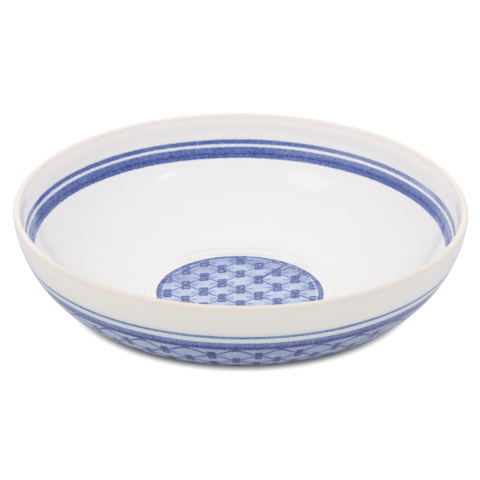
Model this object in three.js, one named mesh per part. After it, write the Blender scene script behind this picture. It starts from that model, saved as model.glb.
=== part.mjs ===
// Porcelain serving bowl, blue-and-white, in millimetres.
// Frame: origin at the centre of the foot's resting face, +Z up, +Z is the axis of the bowl.
// The bowl is a fired body with a foot ring under it, a white glaze coat inside and out, a bare
// buff lip, and cobalt layers that lie flush in shallow beds in the glaze.

import * as THREE from 'three';

// Driving dimensions
const RIM_RADIUS = 125;
const HEIGHT = 67;
const LIP_THICKNESS = 4;
const SEGMENTS = 48;
const LONGEST_FACET = 12;

// Layers: how deep each one reaches below the finished surface
const GLAZE_DEPTH = 0.45;
const PAINT_DEPTH = 0.2;
const GAP = 0.05;

// Lip: a half round on top of the wall, then a slightly swollen shoulder on the outside
const LIP_RADIUS = LIP_THICKNESS / 2;
const LIP_CENTRE_Z = HEIGHT - LIP_RADIUS;
const SHOULDER_RADIUS = 20;
const SHOULDER_TOP_Z = HEIGHT - 2.6;
const SHOULDER_TURN = THREE.MathUtils.degToRad(10);

// Outside wall: one sweep from the shoulder to the heel above the foot ring
const HEEL_RADIUS = 58;
const HEEL_Z = 6.2;
const OUTSIDE_UPPER_PULL = 41;
const OUTSIDE_LOWER_PULL = 21.8;

// Inside wall: one sweep from the lip to the edge of the flat well
const WELL_EDGE_RADIUS = 53.5;
const WELL_EDGE_Z = 12.9;
const INSIDE_UPPER_PULL = 24;
const INSIDE_LOWER_PULL = 37;
const WELL_STEP = 0.5;
const WELL_STEP_WIDTH = 1.4;
const WELL_DISH = 0.3;

// Foot ring, cut off flat at the heel
const FOOT_TOP_OUTER = HEEL_RADIUS - 0.3;
const FOOT_TOP_INNER = 50;
const FOOT_LOW_OUTER = 55.6;
const FOOT_LOW_INNER = 51.2;
const FOOT_FACE_OUTER = 54.6;
const FOOT_FACE_INNER = 52;
const FOOT_CHAMFER = 1.2;

// Where each layer lies, measured down the wall from the top of the sweep
const LIP_BARE_INSIDE = 3.4;
const LIP_BARE_OUTSIDE = 1.4;
const INNER_NARROW_BAND = { from: 12.5, width: 2.6 };
const INNER_WIDE_BAND = { from: 16.9, width: 6.6 };
const MEDALLION_RADIUS = 46.6;
const MEDALLION_RING_WIDTH = 2.6;
const OUTER_NARROW_BAND = { from: 13.2, width: 2.0 };
const OUTER_WIDE_BAND = { from: 19.0, width: 6.6 };
const FRIEZE_END_RADIUS = 62;

const MATERIALS = {
  porcelain: new THREE.MeshStandardMaterial({ color: 0xe9e6e0, roughness: 0.75, metalness: 0 }),
  bare_foot: new THREE.MeshStandardMaterial({ color: 0xd9cdbd, roughness: 0.85, metalness: 0 }),
  buff_rim: new THREE.MeshStandardMaterial({ color: 0xe9d9cb, roughness: 0.35, metalness: 0 }),
  white_glaze: new THREE.MeshStandardMaterial({ color: 0xeeedeb, roughness: 0.12, metalness: 0 }),
  cobalt_paint: new THREE.MeshStandardMaterial({ color: 0x5a6dad, roughness: 0.15, metalness: 0 }),
  pale_blue_wash: new THREE.MeshStandardMaterial({ color: 0xb6c4e2, roughness: 0.15, metalness: 0 }),
};

const bowl = new THREE.Group();
bowl.name = 'porcelain_serving_bowl';

// A wall surface is a sweep plus its length; a place on it is a point and a unit normal
// that points out of the porcelain.
function makeSweep(start, startPull, endPull, end, side) {
  const curve = new THREE.CubicBezierCurve(start, startPull, endPull, end);
  curve.arcLengthDivisions = 2000;
  return { curve, length: curve.getLength(), side };
}

function placeOn(sweep, distance, depth) {
  const u = THREE.MathUtils.clamp(distance / sweep.length, 0, 1);
  const point = sweep.curve.getPointAt(u);
  const tangent = sweep.curve.getTangentAt(u);
  const normal = new THREE.Vector2(-tangent.y, tangent.x).multiplyScalar(sweep.side);
  return point.addScaledVector(normal, -depth);
}

// Outside wall, from the end of the shoulder arc down to the heel
const shoulderEnd = new THREE.Vector2(
  RIM_RADIUS - SHOULDER_RADIUS * (1 - Math.cos(SHOULDER_TURN)),
  SHOULDER_TOP_Z - SHOULDER_RADIUS * Math.sin(SHOULDER_TURN),
);
const outside = makeSweep(
  shoulderEnd,
  new THREE.Vector2(
    shoulderEnd.x - OUTSIDE_UPPER_PULL * Math.sin(SHOULDER_TURN),
    shoulderEnd.y - OUTSIDE_UPPER_PULL * Math.cos(SHOULDER_TURN),
  ),
  new THREE.Vector2(HEEL_RADIUS + OUTSIDE_LOWER_PULL, HEEL_Z),
  new THREE.Vector2(HEEL_RADIUS, HEEL_Z),
  1,
);

// Inside wall, from the lip down to the edge of the well
const lipInner = new THREE.Vector2(RIM_RADIUS - LIP_THICKNESS, LIP_CENTRE_Z);
const inside = makeSweep(
  lipInner,
  new THREE.Vector2(lipInner.x, lipInner.y - INSIDE_UPPER_PULL),
  new THREE.Vector2(WELL_EDGE_RADIUS + INSIDE_LOWER_PULL, WELL_EDGE_Z),
  new THREE.Vector2(WELL_EDGE_RADIUS, WELL_EDGE_Z),
  -1,
);

// Floor of the well: a shallow dish below a small step
function wellHeight(radius) {
  const ramp = (WELL_EDGE_RADIUS - radius) / WELL_STEP_WIDTH;
  const step = WELL_STEP * THREE.MathUtils.smoothstep(ramp, 0, 1);
  const inWell = Math.min(radius / (WELL_EDGE_RADIUS - WELL_STEP_WIDTH), 1);
  return WELL_EDGE_Z - step - WELL_DISH * (1 - inWell * inWell);
}

function wellPoint(radius, depth) {
  return new THREE.Vector2(radius, wellHeight(radius) - depth);
}

// Stations are shared by every layer on a wall, so that stacked layers keep parallel facets
function makeStations(sweep, borders) {
  const stops = [0, ...borders, sweep.length];
  const stations = [];
  for (let i = 1; i < stops.length; i += 1) {
    const reach = stops[i] - stops[i - 1];
    const pieces = Math.ceil(reach / LONGEST_FACET);
    for (let k = 0; k < pieces; k += 1) stations.push(stops[i - 1] + reach * k / pieces);
  }
  return [...stations, sweep.length];
}

function stationsBetween(stations, from, to) {
  return [from, ...stations.filter((s) => s > from + 2 * GAP && s < to - 2 * GAP), to];
}

// A length of layer on a wall, as profile points at one depth
function run(sweep, stations, from, to, depth) {
  return stationsBetween(stations, from, to).map((s) => placeOn(sweep, s, depth));
}

// Wall distance at which a sweep comes in to a given radius
function distanceAtRadius(sweep, radius) {
  let low = 0;
  let high = sweep.length;
  for (let i = 0; i < 40; i += 1) {
    const middle = (low + high) / 2;
    if (placeOn(sweep, middle, 0).x > radius) low = middle;
    else high = middle;
  }
  return low;
}

// The half round of the lip and the shoulder arc, from inside to outside, at one depth
function lipPoints(depth, arcSteps) {
  const points = [];
  const radius = LIP_RADIUS - depth;
  for (let i = 0; i <= arcSteps; i += 1) {
    const angle = Math.PI * (1 - i / arcSteps);
    points.push(new THREE.Vector2(
      RIM_RADIUS - LIP_RADIUS + radius * Math.cos(angle),
      LIP_CENTRE_Z + radius * Math.sin(angle),
    ));
  }
  points.push(new THREE.Vector2(RIM_RADIUS - depth, SHOULDER_TOP_Z));
  return points;
}

// Turns a closed profile about the axis; the profile runs round the section either way
function turn(name, material, profile) {
  const points = profile[0].x === 0 ? profile : [...profile, profile[0]];
  let area = 0;
  for (let i = 0; i < profile.length; i += 1) {
    const a = profile[i];
    const b = profile[(i + 1) % profile.length];
    area += a.x * b.y - b.x * a.y;
  }
  const ordered = area > 0 ? points : [...points].reverse();
  const geometry = new THREE.LatheGeometry(ordered, SEGMENTS);
  geometry.rotateX(Math.PI / 2);
  const mesh = new THREE.Mesh(geometry, material);
  mesh.name = name;
  bowl.add(mesh);
}

// A painted band lies in a bed cut into the glaze
function bandBed(band) {
  return { from: band.from, to: band.from + band.width };
}

const innerNarrowBed = bandBed(INNER_NARROW_BAND);
const innerWideBed = bandBed(INNER_WIDE_BAND);
const outerNarrowBed = bandBed(OUTER_NARROW_BAND);
const outerWideBed = bandBed(OUTER_WIDE_BAND);
const friezeBed = { from: outerWideBed.to + GAP, to: distanceAtRadius(outside, FRIEZE_END_RADIUS) };
const fieldRadius = MEDALLION_RADIUS - MEDALLION_RING_WIDTH;

const insideStations = makeStations(inside, [
  LIP_BARE_INSIDE, innerNarrowBed.from, innerNarrowBed.to, innerWideBed.from, innerWideBed.to,
]);
const outsideStations = makeStations(outside, [
  LIP_BARE_OUTSIDE, outerNarrowBed.from, outerNarrowBed.to, outerWideBed.from, outerWideBed.to,
  friezeBed.to,
]);
const wellStations = [52.8, 52.1, MEDALLION_RADIUS, fieldRadius, 28];

// Body: the shell under the glaze, closed across the lip and across the flat base
const bodyDepth = GLAZE_DEPTH + GAP;
const baseZ = HEEL_Z + bodyDepth;
turn('porcelain_body', MATERIALS.porcelain, [
  wellPoint(0, bodyDepth),
  ...[...wellStations].reverse().map((r) => wellPoint(r, bodyDepth)),
  ...run(inside, insideStations, 0, inside.length, bodyDepth).reverse(),
  ...lipPoints(bodyDepth, 6).slice(1),
  ...run(outside, outsideStations, 0, outside.length, bodyDepth),
  new THREE.Vector2(0, baseZ),
]);

// Rim edge: the bare lip, a cap over the top of the wall
turn('rim_edge', MATERIALS.buff_rim, [
  placeOn(inside, LIP_BARE_INSIDE, 0),
  ...lipPoints(0, 8),
  placeOn(outside, 0, 0),
  placeOn(outside, LIP_BARE_OUTSIDE, 0),
  placeOn(outside, LIP_BARE_OUTSIDE, GLAZE_DEPTH),
  placeOn(outside, 0, GLAZE_DEPTH),
  ...lipPoints(GLAZE_DEPTH, 6).reverse(),
  placeOn(inside, LIP_BARE_INSIDE, GLAZE_DEPTH),
]);

// The finished face of the glaze, dipping GAP below and GAP beyond each bed
const bedDepth = PAINT_DEPTH + GAP;

function glazeFace(sweep, stations, from, to, beds) {
  const points = [];
  let start = from;
  beds.forEach((bed) => {
    points.push(...run(sweep, stations, start, bed.from - GAP, 0));
    points.push(...run(sweep, stations, bed.from - GAP, bed.to + GAP, bedDepth));
    start = bed.to + GAP;
  });
  points.push(...run(sweep, stations, start, to, 0));
  return points;
}

function turnBand(name, material, sweep, stations, bed) {
  turn(name, material, [
    ...run(sweep, stations, bed.from, bed.to, 0),
    ...run(sweep, stations, bed.from, bed.to, PAINT_DEPTH).reverse(),
  ]);
}

// Inside: glaze with two band beds in the wall and one round bed in the well
const innerBeds = [innerNarrowBed, innerWideBed];
const insideFrom = LIP_BARE_INSIDE + GAP;
const wellRing = wellStations.filter((r) => r > MEDALLION_RADIUS);
const wellField = wellStations.filter((r) => r < fieldRadius);
turn('inner_glaze', MATERIALS.white_glaze, [
  wellPoint(0, GLAZE_DEPTH),
  ...[...wellStations].reverse().map((r) => wellPoint(r, GLAZE_DEPTH)),
  ...run(inside, insideStations, insideFrom, inside.length, GLAZE_DEPTH).reverse(),
  ...glazeFace(inside, insideStations, insideFrom, inside.length, innerBeds),
  ...wellRing.map((r) => wellPoint(r, 0)),
  wellPoint(MEDALLION_RADIUS + GAP, 0),
  wellPoint(MEDALLION_RADIUS + GAP, bedDepth),
  wellPoint(fieldRadius, bedDepth),
  ...wellField.map((r) => wellPoint(r, bedDepth)),
  wellPoint(0, bedDepth),
]);
turnBand('inner_narrow_band', MATERIALS.cobalt_paint, inside, insideStations, innerNarrowBed);
turnBand('inner_wide_band', MATERIALS.cobalt_paint, inside, insideStations, innerWideBed);

// Medallion: a cobalt ring round a field that carries the lattice
turn('medallion_ring', MATERIALS.cobalt_paint, [
  wellPoint(MEDALLION_RADIUS, 0),
  wellPoint(MEDALLION_RADIUS, PAINT_DEPTH),
  wellPoint(fieldRadius, PAINT_DEPTH),
  wellPoint(fieldRadius, 0),
]);
turn('well_medallion', MATERIALS.pale_blue_wash, [
  wellPoint(0, 0),
  ...[...wellField].reverse().map((r) => wellPoint(r, 0)),
  wellPoint(fieldRadius - GAP, 0),
  wellPoint(fieldRadius - GAP, PAINT_DEPTH),
  ...wellField.map((r) => wellPoint(r, PAINT_DEPTH)),
  wellPoint(0, PAINT_DEPTH),
]);

// Outside: glaze with beds for two bands and for the lattice frieze that runs under the belly
const outerBeds = [outerNarrowBed, { from: outerWideBed.from, to: friezeBed.to }];
const outsideFrom = LIP_BARE_OUTSIDE + GAP;
turn('outer_glaze', MATERIALS.white_glaze, [
  ...glazeFace(outside, outsideStations, outsideFrom, outside.length, outerBeds),
  ...run(outside, outsideStations, outsideFrom, outside.length, GLAZE_DEPTH).reverse(),
]);
turnBand('outer_narrow_band', MATERIALS.cobalt_paint, outside, outsideStations, outerNarrowBed);
turnBand('outer_wide_band', MATERIALS.cobalt_paint, outside, outsideStations, outerWideBed);
turnBand('outer_lattice', MATERIALS.pale_blue_wash, outside, outsideStations, friezeBed);

// Foot ring, with its resting face bare, and the glazed disc of the base inside it
turn('foot_ring', MATERIALS.bare_foot, [
  new THREE.Vector2(FOOT_TOP_INNER, HEEL_Z + GLAZE_DEPTH),
  new THREE.Vector2(FOOT_LOW_INNER, FOOT_CHAMFER),
  new THREE.Vector2(FOOT_FACE_INNER, 0),
  new THREE.Vector2(FOOT_FACE_OUTER, 0),
  new THREE.Vector2(FOOT_LOW_OUTER, FOOT_CHAMFER),
  new THREE.Vector2(FOOT_TOP_OUTER, HEEL_Z + GLAZE_DEPTH),
]);
turn('base_glaze', MATERIALS.white_glaze, [
  new THREE.Vector2(0, HEEL_Z),
  new THREE.Vector2(FOOT_TOP_INNER - GAP, HEEL_Z),
  new THREE.Vector2(FOOT_TOP_INNER - GAP, HEEL_Z + GLAZE_DEPTH),
  new THREE.Vector2(0, HEEL_Z + GLAZE_DEPTH),
]);

export default bowl;
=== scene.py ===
"""Blue-and-white porcelain serving bowl: fine surfaces, painted glaze, light and camera.

Lengths are in millimetres up to the point where a mesh or a light is made. The bowl stands at the
origin with +Z as its axis. A place on a wall is given by its run: the distance down the wall from
the lip. The front of the bowl faces -Y, and angles turn from there towards +X.
"""

import math

import bmesh
import bpy
import numpy as np
from mathutils import Matrix, Vector


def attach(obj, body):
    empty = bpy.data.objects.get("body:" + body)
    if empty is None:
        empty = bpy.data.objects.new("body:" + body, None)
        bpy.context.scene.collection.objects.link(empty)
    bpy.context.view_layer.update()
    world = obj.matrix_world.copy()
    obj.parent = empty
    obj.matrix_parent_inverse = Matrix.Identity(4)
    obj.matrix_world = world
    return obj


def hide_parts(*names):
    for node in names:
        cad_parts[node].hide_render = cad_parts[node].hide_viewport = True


MM = 0.001

# Overall form
RIM_RADIUS = 125.0
HEIGHT = 67.0
LIP_RADIUS = 2.0
LIP_MIDDLE = RIM_RADIUS - LIP_RADIUS
LIP_CENTRE_Z = HEIGHT - LIP_RADIUS
SHOULDER_RADIUS = 20.0
SHOULDER_TOP_Z = 64.4
SHOULDER_TURN = math.radians(10)
SHOULDER_PULL = 41.0
HEEL_RADIUS = 58.0
HEEL_Z = 6.2
HEEL_PULL = 21.8
INNER_LIP_PULL = 24.0
WELL_EDGE_RADIUS = 53.5
WELL_EDGE_Z = 12.9
WELL_EDGE_PULL = 37.0
WELL_STEP = 0.5
WELL_STEP_WIDTH = 1.4
WELL_DISH = 0.3
WELL_FLOOR_RADIUS = 52.0
BASE_RADIUS = 50.0
FOOT_MIDDLE_RADIUS = 53.5
SEGMENTS = 384
FRONT_SPACING = 0.6

# Layers under the finished surface
GLAZE_DEPTH = 0.45
PAINT_DEPTH = 0.2
CORE_DEPTH = 0.5

# Where the layers lie
LIP_BARE_INSIDE = 3.4
LIP_BARE_OUTSIDE = 1.4
INNER_NARROW = (12.5, 15.1)
INNER_WIDE = (16.9, 23.5)
OUTER_NARROW = (13.2, 15.2)
OUTER_WIDE = (19.0, 25.6)
FRIEZE_END_RADIUS = 62.0
MEDALLION_RADIUS = 46.6
MEDALLION_RING = 2.6
FIELD_RADIUS = MEDALLION_RADIUS - MEDALLION_RING

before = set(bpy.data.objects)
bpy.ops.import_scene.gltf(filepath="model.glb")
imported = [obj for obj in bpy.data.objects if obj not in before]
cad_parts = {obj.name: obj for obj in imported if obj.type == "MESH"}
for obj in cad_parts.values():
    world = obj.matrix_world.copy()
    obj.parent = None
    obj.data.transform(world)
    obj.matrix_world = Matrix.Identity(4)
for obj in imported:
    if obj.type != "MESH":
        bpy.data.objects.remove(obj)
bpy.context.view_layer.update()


# ---------------------------------------------------------------- sections

class Sweep:
    """A wall's section: one cubic curve, read by distance down the wall."""

    def __init__(self, start, start_pull, end_pull, end, outward):
        t = np.linspace(0, 1, 4001)[:, None]
        ends = [np.array(p, float) for p in (start, start_pull, end_pull, end)]
        weights = ((1 - t) ** 3, 3 * (1 - t) ** 2 * t, 3 * (1 - t) * t * t, t ** 3)
        self.points = sum(w * p for w, p in zip(weights, ends))
        steps = np.hypot(*np.diff(self.points, axis=0).T)
        self.runs = np.concatenate([[0], np.cumsum(steps)])
        self.length = float(self.runs[-1])
        slope = np.gradient(self.points, self.runs, axis=0)
        self.normals = outward * np.stack([-slope[:, 1], slope[:, 0]], axis=1)
        self.normals /= np.hypot(*self.normals.T)[:, None]

    def row(self, run, depth=0.0):
        """Radius, height, the two parts of the normal, and the run."""
        r, z = (float(np.interp(run, self.runs, self.points[:, i])) for i in (0, 1))
        nr, nz = (float(np.interp(run, self.runs, self.normals[:, i])) for i in (0, 1))
        return (r - depth * nr, z - depth * nz, nr, nz, run)

    def rows(self, start, end, spacing, depth=0.0):
        count = max(1, math.ceil((end - start) / spacing))
        return [self.row(start + (end - start) * i / count, depth) for i in range(count + 1)]

    def run_at_radius(self, radius):
        return float(np.interp(-radius, -self.points[:, 0], self.runs))


shoulder_end = (
    RIM_RADIUS - SHOULDER_RADIUS * (1 - math.cos(SHOULDER_TURN)),
    SHOULDER_TOP_Z - SHOULDER_RADIUS * math.sin(SHOULDER_TURN),
)
outside = Sweep(
    shoulder_end,
    (
        shoulder_end[0] - SHOULDER_PULL * math.sin(SHOULDER_TURN),
        shoulder_end[1] - SHOULDER_PULL * math.cos(SHOULDER_TURN),
    ),
    (HEEL_RADIUS + HEEL_PULL, HEEL_Z),
    (HEEL_RADIUS, HEEL_Z),
    1,
)
inside = Sweep(
    (RIM_RADIUS - 2 * LIP_RADIUS, LIP_CENTRE_Z),
    (RIM_RADIUS - 2 * LIP_RADIUS, LIP_CENTRE_Z - INNER_LIP_PULL),
    (WELL_EDGE_RADIUS + WELL_EDGE_PULL, WELL_EDGE_Z),
    (WELL_EDGE_RADIUS, WELL_EDGE_Z),
    -1,
)
FRIEZE_END = outside.run_at_radius(FRIEZE_END_RADIUS)


def smoothstep(x):
    x = min(max(x, 0.0), 1.0)
    return x * x * (3 - 2 * x)


def well_row(radius, depth=0.0):
    """A place on the floor of the well, a shallow dish below a small step."""
    step = WELL_STEP * smoothstep((WELL_EDGE_RADIUS - radius) / WELL_STEP_WIDTH)
    reach = min(radius / (WELL_EDGE_RADIUS - WELL_STEP_WIDTH), 1.0)
    z = WELL_EDGE_Z - step - WELL_DISH * (1 - reach * reach)
    return (radius, z - depth, 0.0, 1.0, inside.length + WELL_EDGE_RADIUS - radius)


def well_rows(start, end, spacing, depth=0.0):
    count = max(1, math.ceil(abs(end - start) / spacing))
    return [well_row(start + (end - start) * i / count, depth) for i in range(count + 1)]


def lip_rows(depth, steps):
    """Over the lip from its inner edge, then down the shoulder."""
    rows = []
    for i in range(steps + 1):
        a = math.pi * (1 - i / steps)
        reach = LIP_RADIUS - depth
        rows.append((
            LIP_MIDDLE + reach * math.cos(a),
            LIP_CENTRE_Z + reach * math.sin(a),
            math.cos(a), math.sin(a), 0.0,
        ))
    for i in range(1, steps // 2 + 1):
        a = -SHOULDER_TURN * i / (steps // 2)
        reach = SHOULDER_RADIUS - depth
        rows.append((
            RIM_RADIUS - SHOULDER_RADIUS + reach * math.cos(a),
            SHOULDER_TOP_Z + reach * math.sin(a),
            math.cos(a), math.sin(a), 0.0,
        ))
    return rows


# ---------------------------------------------------------------- relief

def ripple(angle, *waves):
    """A slow hand-made wander round the bowl, from (count, phase, size) waves."""
    return sum(size * math.sin(count * angle + phase) for count, phase, size in waves)


def bead(run, centre, width, height):
    """A rounded line of glaze, as thick glaze leaves at its edge."""
    return height * math.exp(-((run - centre) / width) ** 2)


def inner_relief(run, angle):
    edge = LIP_BARE_INSIDE + 1.5 + ripple(angle, (3, 0.4, 0.3), (7, 1.9, 0.25), (17, 0.2, 0.12))
    throwing = 0.03 * math.sin(run / 4.1 + ripple(angle, (1, 0.0, 0.8)))
    return bead(run, edge, 0.7, 0.08) + throwing * smoothstep(run / 12 - 0.5)


def outer_relief(run, angle):
    edge = LIP_BARE_OUTSIDE + 1.6 + ripple(angle, (4, 1.1, 0.3), (9, 0.7, 0.2))
    return bead(run, edge, 1.2, 0.03)


# ---------------------------------------------------------------- meshes

def turned(name, node, front, back, relief=None):
    """A closed piece turned about the axis: its front rows carry the relief, its back rows lie
    inside the bowl. The piece stands for one CAD node."""
    rows = [(*row, True) for row in front] + [(*row, False) for row in reversed(back)]
    mesh = bmesh.new()
    rings, runs = [], []
    for r, z, nr, nz, run, in_front in rows:
        count = 1 if r == 0 else SEGMENTS
        ring = []
        for k in range(count):
            angle = 2 * math.pi * k / SEGMENTS
            lift = relief(run, angle) if relief and in_front else 0.0
            reach = r + nr * lift
            place = (reach * math.sin(angle), -reach * math.cos(angle), z + nz * lift)
            ring.append(mesh.verts.new(Vector(place) * MM))
            runs.append(run)
        rings.append(ring)
    reaches_axis = len(rings[0]) == 1 and len(rings[-1]) == 1
    pairs = list(zip(rings, rings[1:]))
    if not reaches_axis:
        pairs.append((rings[-1], rings[0]))
    for a, b in pairs:
        if len(a) == 1 and len(b) == 1:
            continue
        for k in range(SEGMENTS):
            after = (k + 1) % SEGMENTS
            corners = [a[k % len(a)], a[after % len(a)], b[after % len(b)], b[k % len(b)]]
            corners = [v for i, v in enumerate(corners) if v is not corners[i - 1]]
            mesh.faces.new(corners)
    bmesh.ops.recalc_face_normals(mesh, faces=mesh.faces)
    data = bpy.data.meshes.new(name)
    mesh.to_mesh(data)
    mesh.free()
    data.attributes.new("run", "FLOAT", "POINT").data.foreach_set("value", runs)
    data.shade_smooth()
    data.set_sharp_from_angle(angle=math.radians(50))
    piece = bpy.data.objects.new(name, data)
    bpy.context.scene.collection.objects.link(piece)
    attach(piece, "root")
    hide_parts(node)
    return piece


def wall_front(sweep, start, beds):
    """The glaze's face down to the wall's end, dipping into a bed under each painted band."""
    rows = []
    place = start
    for bed_start, bed_end in beds:
        rows += sweep.rows(place, bed_start, FRONT_SPACING)
        rows += sweep.rows(bed_start, bed_end, 1.5, PAINT_DEPTH)
        place = bed_end
    return rows + sweep.rows(place, sweep.length, FRONT_SPACING)


# ---------------------------------------------------------------- shader fields

class Field:
    """A number that varies over a surface: a socket of a node tree, with arithmetic."""

    def __init__(self, tree, socket):
        self.tree = tree
        self.socket = socket

    def math(self, operation, *others):
        node = self.tree.nodes.new("ShaderNodeMath")
        node.operation = operation
        for entry, term in zip(node.inputs, (self, *others)):
            connect(self.tree, term, entry)
        return Field(self.tree, node.outputs[0])

    def __add__(self, other):
        return self.math("ADD", other)

    def __sub__(self, other):
        return self.math("SUBTRACT", other)

    def __mul__(self, other):
        return self.math("MULTIPLY", other)

    def __truediv__(self, other):
        return self.math("DIVIDE", other)

    def __pow__(self, other):
        return self.math("POWER", other)

    def __neg__(self):
        return self.math("MULTIPLY", -1.0)

    def __abs__(self):
        return self.math("ABSOLUTE")

    def __or__(self, other):
        return self.math("MAXIMUM", other)

    def __and__(self, other):
        return self.math("MINIMUM", other)

    def off_grid(self, pitch):
        """Distance to the nearest multiple of pitch."""
        return self.math("PINGPONG", pitch / 2)

    def rises(self, low, high):
        """0 below low, 1 above high, eased in between."""
        node = self.tree.nodes.new("ShaderNodeMapRange")
        node.interpolation_type = "SMOOTHSTEP"
        connect(self.tree, self, node.inputs["Value"])
        connect(self.tree, low, node.inputs["From Min"])
        connect(self.tree, high, node.inputs["From Max"])
        return Field(self.tree, node.outputs["Result"])

    def falls(self, low, high):
        return self.rises(low, high) * -1.0 + 1.0


def connect(tree, term, entry):
    if isinstance(term, Field):
        tree.links.new(term.socket, entry)
    else:
        entry.default_value = term


def srgb(r, g, b):
    """A display colour from 0 to 255 as the linear colour that shaders use."""
    def linear(v):
        v /= 255
        return v / 12.92 if v <= 0.04045 else ((v + 0.055) / 1.055) ** 2.4
    return (linear(r), linear(g), linear(b), 1.0)


class Surface:
    """One material: a Principled shader and the fields that its colour is painted from."""

    def __init__(self, name, roughness):
        self.material = bpy.data.materials.new(name)
        self.material.use_nodes = True
        self.tree = self.material.node_tree
        self.shader = self.tree.nodes["Principled BSDF"]
        self.shader.inputs["Roughness"].default_value = roughness
        self.shader.inputs["IOR"].default_value = 1.5
        where = self.tree.nodes.new("ShaderNodeTexCoord").outputs["Object"]
        self.place = self.scaled(where, (1 / MM,) * 3)
        split = self.tree.nodes.new("ShaderNodeSeparateXYZ")
        self.tree.links.new(self.place, split.inputs[0])
        self.x, self.y, self.z = (Field(self.tree, out) for out in split.outputs)
        self.radius = (self.x * self.x + self.y * self.y) ** 0.5
        self.angle = self.x.math("ARCTAN2", -self.y)
        reader = self.tree.nodes.new("ShaderNodeAttribute")
        reader.attribute_name = "run"
        self.run = Field(self.tree, reader.outputs["Fac"])

    def scaled(self, vector, scale):
        node = self.tree.nodes.new("ShaderNodeVectorMath")
        node.operation = "MULTIPLY"
        self.tree.links.new(vector, node.inputs[0])
        node.inputs[1].default_value = scale
        return node.outputs[0]

    def noise(self, size, seed, detail=2.0, stretch=None):
        """Noise from -1 to 1 with features of a given size; stretch lengthens them round the bowl
        and needs the run to tell rows apart."""
        node = self.tree.nodes.new("ShaderNodeTexNoise")
        node.noise_dimensions = "4D"
        node.inputs["W"].default_value = seed
        node.inputs["Detail"].default_value = detail
        node.inputs["Scale"].default_value = 1.0
        if stretch is None:
            vector = self.scaled(self.place, (1 / size,) * 3)
        else:
            join = self.tree.nodes.new("ShaderNodeCombineXYZ")
            terms = (self.x / stretch, self.y / stretch, self.run / size)
            for entry, term in zip(join.inputs, terms):
                connect(self.tree, term, entry)
            vector = join.outputs[0]
        self.tree.links.new(vector, node.inputs["Vector"])
        return Field(self.tree, node.outputs["Fac"]) * 2.0 - 1.0

    def blend(self, base, over, amount):
        """Colour over laid on colour base by an amount."""
        node = self.tree.nodes.new("ShaderNodeMix")
        node.data_type = "RGBA"
        connect(self.tree, amount, node.inputs["Factor"])
        entries = [entry for entry in node.inputs if entry.type == "RGBA"]
        for term, entry in zip((base, over), entries):
            if isinstance(term, tuple):
                entry.default_value = term
            else:
                self.tree.links.new(term, entry)
        return next(out for out in node.outputs if out.type == "RGBA")

    def ramp(self, amount, stops):
        node = self.tree.nodes.new("ShaderNodeValToRGB")
        band = node.color_ramp
        while len(band.elements) < len(stops):
            band.elements.new(0.5)
        for element, (position, colour) in zip(band.elements, stops):
            element.position = position
            element.color = colour
        connect(self.tree, amount, node.inputs["Fac"])
        return node.outputs["Color"]

    def colour(self, socket):
        self.tree.links.new(socket, self.shader.inputs["Base Color"])

    def bump(self, height, distance):
        node = self.tree.nodes.new("ShaderNodeBump")
        node.inputs["Distance"].default_value = distance * MM
        connect(self.tree, height, node.inputs["Height"])
        self.tree.links.new(node.outputs["Normal"], self.shader.inputs["Normal"])


# ---------------------------------------------------------------- glaze and cobalt

GLAZE_ROUGHNESS = 0.04

# Colours by density of cobalt, from bare glaze to the deepest blue
INSIDE_PALETTE = (
    (0.0, srgb(237, 235, 234)),
    (0.08, srgb(220, 226, 230)),
    (0.30, srgb(186, 196, 220)),
    (0.62, srgb(86, 104, 172)),
    (0.80, srgb(60, 76, 150)),
    (1.0, srgb(40, 52, 112)),
)
MEDALLION_PALETTE = (
    (0.0, srgb(237, 235, 234)),
    (0.08, srgb(222, 229, 234)),
    (0.30, srgb(187, 198, 225)),
    (0.62, srgb(84, 101, 163)),
    (0.80, srgb(58, 72, 142)),
    (1.0, srgb(38, 50, 108)),
)
OUTSIDE_PALETTE = (
    (0.0, srgb(238, 234, 229)),
    (0.08, srgb(220, 225, 228)),
    (0.30, srgb(173, 187, 214)),
    (0.62, srgb(101, 114, 171)),
    (0.80, srgb(66, 75, 143)),
    (1.0, srgb(30, 38, 108)),
)

# The buff lip
LIP_INSIDE = srgb(249, 243, 241)
LIP_CROWN_LEFT = srgb(235, 226, 217)
LIP_CROWN_RIGHT = srgb(234, 226, 221)
# Painted shade for the lip's top, and paler colour painted on its back and sides
LIP_TOP_PAINTED_SHADE = srgb(226, 216, 209)
LIP_BACK_AND_SIDES_PAINTED_LIGHT = srgb(234, 227, 222)

# The foot's bare clay and glaze, and the paste inside
CLAY_PALE = srgb(214, 200, 182)
CLAY_DEEP = srgb(190, 172, 150)
FOOT_GLAZE = srgb(230, 228, 225)
PASTE_PALE = srgb(233, 230, 224)
PASTE_DEEP = srgb(220, 215, 206)


def painted(surface, density, palette, warmth=None):
    """Glaze over a density of cobalt, with faint clouding in the white, turning towards the
    lip's colour by an amount of warmth."""
    cloud = surface.noise(60, 3.1) * 0.010 + surface.noise(9, 4.7) * 0.005
    colour = surface.ramp((density + cloud) | 0.0, palette)
    if warmth is not None:
        colour = surface.blend(colour, LIP_INSIDE, warmth)
    surface.colour(colour)


def laid(under, cover, tone):
    """Cobalt of a tone laid over what is already painted, as far as it covers."""
    return under + (under * -1.0 + tone) * cover


def stroke(distance, half_width, soft=0.3):
    """1 on a painted line, 0 away from it."""
    return distance.falls(half_width - soft, half_width + soft)


def grain(surface, seed, size=1.1):
    """Cobalt's granular mottle: dark specks in a soft cloud."""
    specks = surface.noise(size, seed, 1.0).rises(-0.05, 0.35)
    return specks * 1.8 + surface.noise(3.0, seed + 1, 2.0) * 0.7 - 0.7


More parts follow.
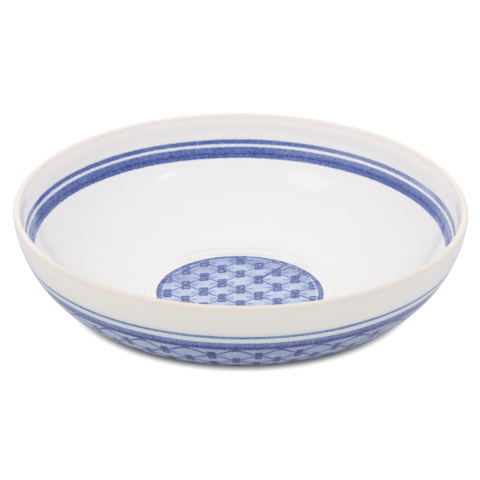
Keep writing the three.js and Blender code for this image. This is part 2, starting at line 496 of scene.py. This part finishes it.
def band(surface, edges, tone, slip=0.0):
    """A turned band of cobalt, ragged at its edges, slipped a little down the wall."""
    start, end = edges
    slow = surface.noise(3, 11.0 + start, 1.0, stretch=45)
    ragged = surface.noise(1.4, 23.0 + start, 3.0)
    distance = abs(surface.run - (start + end) / 2 - slip + slow * 0.4) + ragged * 0.45
    return stroke(distance, (end - start) / 2, 0.45) * tone


def breath(surface, upper, lower, tone, above=0.3):
    """The tint of cobalt that two bands leave in the glaze between them."""
    start, end = upper[0] - above, lower[1] - 0.9
    return stroke(abs(surface.run - (start + end) / 2), (end - start) / 2, 1.2) * tone


def ragged_streak(surface, at, seed):
    """The dark thread where the loaded brush pooled, broken and wandering round the bowl."""
    wander = surface.noise(4, seed, 2.0, stretch=38) * 1.6 + surface.noise(1.6, seed + 1, 2.0) * 1.6
    line = stroke(abs(surface.run - at + wander), 0.35, 0.6)
    return line * surface.noise(5, seed + 2, 2.0).rises(-0.5, 0.1)


def sector(surface, centre, half, soft):
    """1 over part of the circle, all in degrees from the front."""
    degrees = surface.angle * (180 / math.pi)
    return abs(degrees - centre).falls(half - soft, half + soft)


def inner_wall_density(surface):
    grains = grain(surface, 7.3, 0.85)
    patch = surface.noise(5, 31.0, 2.0, stretch=30)
    # A stretch where the brush ran thin, the bands paler towards the right, and at both ends
    # towards the sides a painted reflection that makes the bands paler
    pale = sector(surface, 132.0, 24.0, 9.0)
    right = surface.x.rises(0.0, 50.0) * 0.06
    right_end_painted_reflection = sector(surface, 98.0, 9.0, 5.0) * 0.14
    narrow_end_painted_reflection = sector(surface, 107.0, 15.0, 5.0) * 0.14
    left_end_painted_reflection = sector(surface, -93.0, 10.0, 3.0) * 0.15
    grains = grains * (pale * -0.6 + 1.0)
    narrow_tone = grains * 0.08 + patch * 0.08 - pale * 0.07 - right + 0.66
    narrow_tone = narrow_tone - narrow_end_painted_reflection - left_end_painted_reflection * 0.6
    # Both bands sit a little higher at the left
    at_left = surface.x.falls(-60.0, -15.0)
    narrow = band(surface, INNER_NARROW, narrow_tone, at_left * -0.28 + 0.43)
    start, end = INNER_WIDE
    upper = surface.run.falls(start + 0.5, end - 2.0)
    wide_tone = grains * 0.11 + patch * 0.07 - upper * (pale * 0.05 + 0.03) + 0.69
    wide_tone = wide_tone - right - right_end_painted_reflection - left_end_painted_reflection
    wide = band(surface, INNER_WIDE, wide_tone, at_left * -0.25 + 0.22)
    streak = ragged_streak(surface, start + (end - start) * 0.62, 41.0) * wide * 0.42
    breath_tone = right * -1.2 - narrow_end_painted_reflection * 0.3 + 0.085
    return narrow | (wide + streak) | breath(surface, INNER_NARROW, INNER_WIDE, breath_tone)


def soft_bump(surface):
    """The slow unevenness of poured glaze."""
    surface.bump(surface.noise(34, 51.0, 1.0) + surface.noise(9, 52.0, 1.0) * 0.05, 0.14)


def inner_wall_material(name):
    surface = Surface(name, GLAZE_ROUGHNESS)
    warmth = (surface.run + surface.noise(30, 54.0, 2.0) * 2.0).falls(3.0, 8.0) * 0.5
    painted(surface, inner_wall_density(surface), INSIDE_PALETTE, warmth)
    soft_bump(surface)
    return surface.material


def buff_lip_material(name):
    surface = Surface(name, 0.4)
    surface.shader.inputs["Specular IOR Level"].default_value = 0.3
    cloud = surface.noise(14, 61.0, 3.0)
    outer_side = surface.radius.rises(121.6, 123.6)
    rightward = (surface.x + cloud * 30.0).rises(-50.0, 70.0)
    buff = surface.blend(LIP_CROWN_LEFT, LIP_CROWN_RIGHT, rightward)
    crown = surface.blend(LIP_INSIDE, buff, outer_side)
    # Painted shade: the lip's top darker; its back and sides painted paler, so the shade holds at
    # the front
    crown = surface.blend(crown, LIP_TOP_PAINTED_SHADE, surface.z.rises(64.6, 66.0))
    crown = surface.blend(crown, LIP_BACK_AND_SIDES_PAINTED_LIGHT, surface.y.rises(-100.0, -30.0))
    white = surface.ramp(surface.noise(60, 3.1) * 0.01 | 0.0, OUTSIDE_PALETTE)
    fade = (surface.z + cloud * 0.8).rises(60.0, 66.0)
    edge = surface.blend(white, crown, fade)
    inner_side = surface.radius.falls(121.0, 122.4) * surface.z.falls(64.6, 66.0)
    surface.colour(surface.blend(edge, LIP_INSIDE, inner_side))
    surface.bump(surface.noise(2.5, 62.0, 3.0), 0.02)
    return surface.material


def scallops(surface, under):
    """The frieze: rows of nodes, each row half a repeat round from the last, joined by drooping
    lines, with a small dark chequer at each node and a dash on either side."""
    first_row, row_step, repeat = 26.3, 6.9, 12.0
    degrees = surface.angle * (180 / math.pi)
    # The spacing swings to and fro seven times round the bowl
    hand = (surface.angle * 7.0 - 0.37).math("COSINE") * -0.95 + 1.8
    across = (degrees + hand + surface.noise(9, 71.0, 1.0) * 0.4).off_grid(repeat)
    run = surface.run + surface.noise(8, 72.0, 1.0) * 0.7
    per_degree = surface.radius * (math.pi / 180)
    columns = (
        (across, first_row, first_row + row_step),
        (across * -1.0 + repeat / 2, first_row + row_step, first_row),
    )
    lines = []
    for column, row, _ in columns:
        droop = (column / (repeat / 2)) ** 1.35 * row_step
        lines.append((run - row - droop).off_grid(2 * row_step))
    distance = lines[0] & lines[1]
    weight = surface.noise(6, 88.0, 2.0) * 0.15
    ink = laid(under, stroke(distance, 0.85, 0.4), weight + 0.78)
    mottle = surface.noise(1.6, 73.0, 1.0) * 0.5
    for column, row, shown_from in columns:
        dx = column * per_degree
        ds = (run - row).off_grid(2 * row_step)
        shown = surface.run.rises(shown_from - 0.5, shown_from + 0.5)
        block = stroke(dx, 1.9, 0.3) * stroke(ds, 4.4, 0.5) * shown
        dash = stroke(ds, 0.4, 0.3) * stroke(abs(dx - 4.0), 1.8, 0.5) * shown
        ink = laid(ink, dash, 0.60)
        ink = laid(ink, block, mottle + 0.84)
        ink = laid(ink, stroke(abs(ds - 3.6), 0.7, 0.4) * block, 1.0)
        ink = laid(ink, stroke(distance, 0.6, 0.4) * block, 0.98)
    blot = stroke(across * per_degree, 1.3, 0.6) * stroke(abs(run - first_row), 1.0, 0.6)
    return laid(ink, blot, 0.85)


def outer_wall_density(surface):
    grains = grain(surface, 17.3, 0.75)
    patch = surface.noise(5, 81.0, 2.0, stretch=30)
    start, end = OUTER_WIDE
    slip = surface.x.falls(50.0, 70.0) * 0.35 + 0.1
    narrow = band(surface, OUTER_NARROW, grains * 0.10 + patch * 0.08 + 0.58, slip)
    deeper = surface.run.rises(start, end) * 0.16
    wide = band(surface, OUTER_WIDE, grains * 0.14 + patch * 0.08 + 0.60 + deeper)
    ragged = surface.noise(1.1, 83.0, 3.0)
    wander = surface.noise(5, 84.0, 1.0) * 0.6
    specks = surface.noise(1.2, 89.0, 1.0).rises(-0.15, 0.2) * 0.95 + 0.2
    streak = stroke(abs(surface.run - end + 1.4 + wander) + ragged * 1.3, 1.15, 0.8) * specks
    wash = surface.noise(8, 85.0, 2.0) * 0.10 + surface.noise(2.5, 87.0, 2.0) * 0.05 + 0.31
    wash = wash + surface.x.rises(-60.0, 10.0) * 0.10
    frieze = scallops(surface, wash) * (surface.noise(2.5, 86.0, 2.0) * 0.12 + 1.0)
    below = (surface.run + ragged * 0.5).rises(end - 0.7, end + 0.1)
    beside = breath(surface, OUTER_NARROW, OUTER_WIDE, 0.08, 1.3)
    return laid(narrow | wide | beside, streak, grains * 0.18 + 1.04) | (frieze * below)


def outer_wall_material(name):
    surface = Surface(name, GLAZE_ROUGHNESS)
    end = surface.run.falls(FRIEZE_END - 0.6, FRIEZE_END)
    painted(surface, outer_wall_density(surface) * end, OUTSIDE_PALETTE)
    soft_bump(surface)
    return surface.material


def segment(surface, start, end):
    """Distance in plan to a straight stroke of the brush."""
    (x0, y0), (x1, y1) = start, end
    dx, dy = x1 - x0, y1 - y0
    along = ((surface.x - x0) * dx + (surface.y - y0) * dy) / (dx * dx + dy * dy)
    along = (along | 0.0) & 1.0
    off_x = surface.x - x0 - along * dx
    off_y = surface.y - y0 - along * dy
    return (off_x * off_x + off_y * off_y) ** 0.5


def lattice(surface, under):
    """The medallion's diaper: diagonal lines through a staggered grid of small squares."""
    column, rise, skew = 10.2, 18.0, 0.135
    # One part of the grid slipped back a little
    off_x, off_y = surface.x - 9.0, surface.y - 20.0
    slip = ((off_x * off_x + off_y * off_y) ** 0.5).falls(3.0, 20.0) * 2.4
    x = surface.x - 0.2 + surface.noise(13, 91.0, 1.0) * 0.9
    y = surface.y - 4.6 - surface.x * skew + surface.noise(13, 92.0, 1.0) * 0.9 - slip
    u, v = x / (2 * column), y / rise
    per_mm = math.hypot(0.5 / column, 1 / rise)
    distance = ((u + v).off_grid(1.0) & (v - u).off_grid(1.0)) / per_mm
    weight = surface.noise(7, 94.0, 2.0) * 0.18
    ink = laid(under, stroke(distance, 0.56, 0.25), weight + 0.58)
    mottle = surface.noise(1.5, 95.0, 1.0) * 0.55
    doubled = surface.noise(6, 96.0, 1.0).rises(-0.1, 0.1)
    for shift in (0.0, 0.5):
        dx = (u + shift).off_grid(1.0) * (2 * column)
        signed_dy = ((v + shift + 0.5).math("FRACT") - 0.5) * rise
        dy = abs(signed_dy)
        reach = stroke(abs(dx - 4.8), 2.1, 0.4)
        dashes = stroke(dy, 0.45, 0.3) | (stroke(abs(signed_dy + 1.9), 0.4, 0.3) * doubled)
        block = stroke(dx, 2.45, 0.25) * stroke(dy, 4.9, 0.4)
        frame_bars = stroke(abs(dy - 4.2), 0.8, 0.4) | (stroke(abs(dx - 2.2), 0.35, 0.3) * 0.5)
        ink = laid(ink, dashes * reach, weight + 0.56)
        ink = laid(ink, block, mottle + 0.54)
        ink = laid(ink, frame_bars * block, weight + 0.71)
        ink = laid(ink, stroke(distance, 0.7, 0.4) * block, mottle * 0.5 + 0.66)
    # Two stray strokes across the pattern
    for start, end in (((9.5, 17.0), (26.5, 37.0)), ((30.5, 20.0), (35.5, 27.0))):
        ink = laid(ink, stroke(segment(surface, start, end), 0.5, 0.3), 0.72)
    return ink


def medallion_density(surface):
    back = surface.y - 0.4
    wobble = surface.noise(22, 101.0, 1.0) * 0.4
    radius = (surface.x * surface.x + back * back) ** 0.5 + wobble
    grains = grain(surface, 27.3)
    side = abs(surface.angle.math("SINE"))
    half = side * 0.30 + 1.15
    ring_tone = grains * 0.20 + surface.noise(18, 102.0, 2.0) * 0.14 + 0.64
    ring = stroke(abs(radius - MEDALLION_RADIUS + half), half, 0.35)
    second = stroke(abs(radius - 42.9), 0.4, 0.3) * sector(surface, 136.0, 20.0, 4.0)
    inner = half * -2.0 + MEDALLION_RADIUS
    gap = abs(radius - inner + 0.7 + surface.noise(6, 104.0, 2.0) * 0.7)
    gap = stroke(gap, 0.35, 0.4)
    gap = gap * (side * 0.4 + 0.35) * (surface.x.rises(-30.0, 10.0) * 0.6 + 0.4)
    pooled = radius.rises(24.0, 42.0) * surface.y.rises(-10.0, 30.0) * 0.14
    slanted = surface.y * 0.35 + surface.x * 0.15 + surface.noise(8, 106.0, 1.0) * 1.5
    strokes = slanted.math("SINE")
    clouds = surface.noise(9, 103.0, 3.0) * 0.17 + surface.noise(2.0, 105.0, 2.0) * 0.05
    clouds = clouds + strokes * 0.02
    field = lattice(surface, clouds + pooled + 0.29) * (grains * 0.06 + 1.0)
    field = field * (gap * -0.9 + 1.0)
    field = laid(field, second, 0.66)
    within = radius.falls(MEDALLION_RADIUS - 0.1, MEDALLION_RADIUS + 0.3)
    return laid(field, ring, ring_tone) * within


def medallion_material(name):
    surface = Surface(name, GLAZE_ROUGHNESS)
    painted(surface, medallion_density(surface), MEDALLION_PALETTE)
    surface.bump(surface.noise(20, 51.0, 1.0), 0.05)
    return surface.material


def foot_material(name):
    surface = Surface(name, 0.75)
    bare = (surface.z + surface.noise(5, 111.0, 2.0) * 0.25).falls(0.9, 1.5)
    fleck = surface.noise(2, 112.0, 3.0).rises(-0.4, 0.6)
    clay = surface.blend(CLAY_PALE, CLAY_DEEP, fleck)
    surface.colour(surface.blend(FOOT_GLAZE, clay, bare))
    connect(surface.tree, bare * 0.6 + 0.12, surface.shader.inputs["Roughness"])
    surface.bump(surface.noise(0.8, 113.0, 3.0) * bare, 0.05)
    return surface.material


def base_material(name):
    surface = Surface(name, GLAZE_ROUGHNESS)
    painted(surface, surface.noise(12, 121.0, 2.0) * 0.02 + 0.01, OUTSIDE_PALETTE)
    soft_bump(surface)
    return surface.material


def core_material(name):
    surface = Surface(name, 0.7)
    fleck = surface.noise(1.5, 131.0, 3.0).rises(0.0, 0.8)
    surface.colour(surface.blend(PASTE_PALE, PASTE_DEEP, fleck))
    return surface.material


# ---------------------------------------------------------------- the pieces

def wear(piece, material):
    piece.data.materials.clear()
    piece.data.materials.append(material)


def bare_lip_rows(spacing, steps, depth):
    """Over the lip, from the edge of the glaze inside to its edge outside."""
    rows = inside.rows(0, LIP_BARE_INSIDE, spacing, depth)[::-1]
    rows += lip_rows(depth, steps)[1:]
    return rows + outside.rows(0, LIP_BARE_OUTSIDE, spacing, depth)[1:]


def make_lip():
    front = bare_lip_rows(0.4, 24, 0.0)
    back = bare_lip_rows(1.2, 16, GLAZE_DEPTH)
    return turned("lip", "rim_edge", front, back)


def make_inner_glaze():
    beds = (INNER_NARROW, INNER_WIDE)
    front = wall_front(inside, LIP_BARE_INSIDE, beds)
    front += well_rows(WELL_EDGE_RADIUS, WELL_FLOOR_RADIUS, 0.15)[1:]
    front += well_rows(WELL_FLOOR_RADIUS, MEDALLION_RADIUS, 1.0)[1:]
    front += well_rows(MEDALLION_RADIUS, 0, 6.0, PAINT_DEPTH)
    back = inside.rows(LIP_BARE_INSIDE, inside.length, 2.0, GLAZE_DEPTH)
    back += well_rows(WELL_EDGE_RADIUS, 0, 3.0, GLAZE_DEPTH)[1:]
    return turned("inner_glaze_coat", "inner_glaze", front, back, inner_relief)


def make_band(name, node, sweep, edges, relief):
    front = sweep.rows(*edges, 0.5)
    back = sweep.rows(*edges, 1.5, PAINT_DEPTH)
    return turned(name, node, front, back, relief)


def make_medallion_ring():
    front = well_rows(MEDALLION_RADIUS, FIELD_RADIUS, 0.6)
    back = well_rows(MEDALLION_RADIUS, FIELD_RADIUS, 1.3, PAINT_DEPTH)
    return turned("medallion_border", "medallion_ring", front, back)


def make_medallion():
    front = well_rows(FIELD_RADIUS, 0, 1.0)
    back = well_rows(FIELD_RADIUS, 0, 6.0, PAINT_DEPTH)
    return turned("medallion_field", "well_medallion", front, back)


def make_outer_glaze():
    beds = (OUTER_NARROW, (OUTER_WIDE[0], FRIEZE_END))
    front = wall_front(outside, LIP_BARE_OUTSIDE, beds)
    back = outside.rows(LIP_BARE_OUTSIDE, outside.length, 2.0, GLAZE_DEPTH)
    return turned("outer_glaze_coat", "outer_glaze", front, back, outer_relief)


def foot_rows():
    """The foot ring's section, with its lower corners worn round."""
    top = HEEL_Z + GLAZE_DEPTH
    outer_side = [(57.7, top), (56.9, 5.2), (56.2, 3.4), (55.75, 1.8)]
    outer_corner = [(55.5, 1.1), (55.1, 0.45), (54.6, 0.1)]
    face = [(54.2, 0.0), (52.4, 0.0)]
    inner_corner = [(52.0, 0.1), (51.55, 0.45), (51.3, 1.1)]
    inner_side = [(51.0, 2.2), (50.5, 4.4), (BASE_RADIUS, top)]
    section = outer_side + outer_corner + face + inner_corner + inner_side
    return [(r, z, 0.0, 0.0, 0.0) for r, z in section]


def make_foot():
    top = HEEL_Z + GLAZE_DEPTH
    return turned("foot", "foot_ring", foot_rows(), [(FOOT_MIDDLE_RADIUS, top, 0.0, 0.0, 0.0)])


def make_base():
    front_radii = (BASE_RADIUS, 48.0, 40.0, 30.0, 20.0, 10.0, 0)
    back_radii = (BASE_RADIUS, 25.0, 0)
    front = [(r, HEEL_Z, 0.0, -1.0, 0.0) for r in front_radii]
    back = [(r, HEEL_Z + GLAZE_DEPTH, 0.0, 1.0, 0.0) for r in back_radii]
    return turned("base_disc", "base_glaze", front, back)


def make_core():
    front = well_rows(0, WELL_EDGE_RADIUS, 2.0, CORE_DEPTH)
    front += inside.rows(0, inside.length, 1.5, CORE_DEPTH)[::-1][1:]
    front += lip_rows(CORE_DEPTH, 16)[1:]
    front += outside.rows(0, outside.length, 1.5, CORE_DEPTH)[1:]
    back = [(0, HEEL_Z + CORE_DEPTH, 0.0, -1.0, 0.0)]
    return turned("porcelain_core", "porcelain_body", front, back)


inner_paint = inner_wall_material("inner_painted_glaze")
outer_paint = outer_wall_material("outer_painted_glaze")
medallion_paint = medallion_material("medallion_painted_glaze")

wear(make_core(), core_material("porcelain_paste"))
wear(make_lip(), buff_lip_material("buff_lip_edge"))
wear(make_inner_glaze(), inner_paint)
wear(make_band("inner_narrow_line", "inner_narrow_band", inside, INNER_NARROW, inner_relief),
     inner_paint)
wear(make_band("inner_wide_line", "inner_wide_band", inside, INNER_WIDE, inner_relief),
     inner_paint)
wear(make_medallion_ring(), medallion_paint)
wear(make_medallion(), medallion_paint)
wear(make_outer_glaze(), outer_paint)
wear(make_band("outer_narrow_line", "outer_narrow_band", outside, OUTER_NARROW, outer_relief),
     outer_paint)
wear(make_band("outer_wide_line", "outer_wide_band", outside, OUTER_WIDE, outer_relief),
     outer_paint)
wear(make_band("outer_frieze", "outer_lattice", outside, (OUTER_WIDE[1], FRIEZE_END), outer_relief),
     outer_paint)
wear(make_foot(), foot_material("foot_glaze_and_clay"))
wear(make_base(), base_material("base_white_glaze"))


# ---------------------------------------------------------------- stage, light, camera

# Brightness of the surroundings by height, and the glow painted into the two sheets
HORIZON_GLOW = 0.94
SKY_GLOW = 0.845
ZENITH_GLOW = 0.86
UNDER_GLOW = 0.81
FLOOR_GLOW = 0.885
TABLE_GLOW = 0.56

# Where each sheet's painted shadow disc ends, as radii about its centre in millimetres
FLOOR_PAINTED_SHADOW_EDGE = (93.7, 102.7)
FLOOR_PAINTED_SHADOW_CENTRE = (0.0, 31.2)
TABLE_PAINTED_SHADE_EDGE = (62.0, 112.0)
TABLE_PAINTED_SHADE_CENTRE = (0.0, 0.0)

# The sheets' colours, and in metres their reach and how far the table lies under the floor
PAPER = (174, 170, 156)
# The table is seen only mirrored in the glaze; its bluish grey colours that painted reflection
TABLE = (96, 108, 148)
SHEET_REACH = 40.0
TABLE_DROP = 0.0005


def flat_sheet(name, z):
    """A wide level square, in metres."""
    data = bpy.data.meshes.new(name)
    mesh = bmesh.new()
    corners = []
    for x, y in ((-1, -1), (1, -1), (1, 1), (-1, 1)):
        corners.append(mesh.verts.new((x * SHEET_REACH, y * SHEET_REACH, z)))
    mesh.faces.new(corners)
    mesh.to_mesh(data)
    mesh.free()
    sheet = bpy.data.objects.new(name, data)
    bpy.context.scene.collection.objects.link(sheet)
    return sheet


def glowing_sheet(name, colour, glow, painted_shadow_edge, centre):
    """A sheet that glows though it is no lamp, with a painted shadow: a disc without glow where the
    bowl stands.
    """
    surface = Surface(name, 0.9)
    surface.shader.inputs["Specular IOR Level"].default_value = 0.0
    fleck = surface.noise(200, 141.0).rises(-0.5, 0.5)
    paler = srgb(*(value + 3 for value in colour))
    surface.colour(surface.blend(srgb(*colour), paler, fleck))
    across, behind = surface.x - centre[0], surface.y - centre[1]
    reach = (across * across + behind * behind) ** 0.5
    # Painted shadow: no glow inside the disc, rising to full glow outside it
    strength = reach.rises(*painted_shadow_edge) * glow
    surface.shader.inputs["Emission Color"].default_value = (1.0, 1.0, 1.0, 1.0)
    connect(surface.tree, strength, surface.shader.inputs["Emission Strength"])
    return surface.material


def make_floor():
    """The glowing floor that is seen, with its painted contact shadow; and just under it the dimmer
    glowing table that is mirrored in the glaze, its dark disc a painted reflection of the shade
    under the bowl.
    """
    floor = flat_sheet("floor", 0.0)
    white = glowing_sheet("floor_glow_with_painted_shadow", PAPER, FLOOR_GLOW, FLOOR_PAINTED_SHADOW_EDGE, FLOOR_PAINTED_SHADOW_CENTRE)
    floor.data.materials.append(white)
    floor.visible_diffuse = False
    floor.visible_glossy = False
    # Painted reflection: a glowing sheet hidden from the camera, whose dark disc shows in the glaze
    # as shade under the bowl
    table = flat_sheet("table", -TABLE_DROP)
    dim = glowing_sheet("table_glow_painted_reflection", TABLE, TABLE_GLOW, TABLE_PAINTED_SHADE_EDGE, TABLE_PAINTED_SHADE_CENTRE)
    table.data.materials.append(dim)
    table.visible_camera = False
    table.visible_diffuse = False


def make_world():
    world = bpy.data.worlds.new("studio")
    world.use_nodes = True
    tree = world.node_tree
    split = tree.nodes.new("ShaderNodeSeparateXYZ")
    tree.links.new(tree.nodes.new("ShaderNodeTexCoord").outputs["Generated"], split.inputs[0])
    height = Field(tree, split.outputs["Z"])
    glow = height.falls(0.02, 0.2) * (HORIZON_GLOW - SKY_GLOW) + SKY_GLOW
    glow = glow + height.rises(0.2, 0.9) * (ZENITH_GLOW - SKY_GLOW)
    glow = glow - height.falls(-0.1, 0.0) * (HORIZON_GLOW - UNDER_GLOW)
    background = tree.nodes["Background"]
    background.inputs["Color"].default_value = (1.0, 1.0, 1.0, 1.0)
    connect(tree, glow, background.inputs["Strength"])
    bpy.context.scene.world = world


def softbox(name, azimuth, elevation, distance, width, height, power, mirrored=True):
    """A light aimed at the bowl; azimuth 0 stands on the camera's side. An unmirrored one is too
    diffuse to show as a shape in the glaze."""
    light = bpy.data.lights.new(name, "AREA")
    light.shape = "RECTANGLE"
    light.size, light.size_y = width, height
    light.energy = power
    lamp = bpy.data.objects.new(name, light)
    lamp.visible_glossy = mirrored
    a, e = math.radians(azimuth), math.radians(elevation)
    direction = Vector((math.sin(a) * math.cos(e), -math.cos(a) * math.cos(e), math.sin(e)))
    lamp.location = direction * distance + Vector((0, 0, HEIGHT * MM / 2))
    lamp.rotation_mode = "QUATERNION"
    lamp.rotation_quaternion = direction.to_track_quat("Z", "Y")
    bpy.context.scene.collection.objects.link(lamp)


def make_camera():
    """Stands in front, 25 degrees up and two metres off, aimed a little under the rim."""
    elevation = math.radians(25.43)
    dip = math.radians(0.573)
    roll = math.radians(0.43)
    distance = 2.0
    data = bpy.data.cameras.new("camera")
    data.sensor_width = 36.0
    data.lens = 273.1
    data.shift_x = -0.00085
    data.clip_start, data.clip_end = 0.1, 200.0
    camera = bpy.data.objects.new("camera", data)
    aim = Matrix.Rotation(math.pi / 2 - elevation - dip, 4, "X") @ Matrix.Rotation(roll, 4, "Z")
    aim_height = 0.0674
    place = (0.0, -distance * math.cos(elevation), aim_height + distance * math.sin(elevation))
    camera.matrix_world = Matrix.Translation(place) @ aim
    bpy.context.scene.collection.objects.link(camera)
    bpy.context.scene.camera = camera


make_floor()
make_world()
softbox("right_softbox", 60, 55, 1.6, width=0.24, height=0.10, power=0.15)
softbox("left_softbox", -60, 59, 1.6, width=0.50, height=0.34, power=0.50)
softbox("right_fill", 66, 50, 1.8, width=1.0, height=1.0, power=4.7, mirrored=False)
softbox("left_fill", -66, 50, 1.8, width=1.0, height=1.0, power=6.1, mirrored=False)
make_camera()
bpy.context.scene.view_settings.view_transform = "Standard"
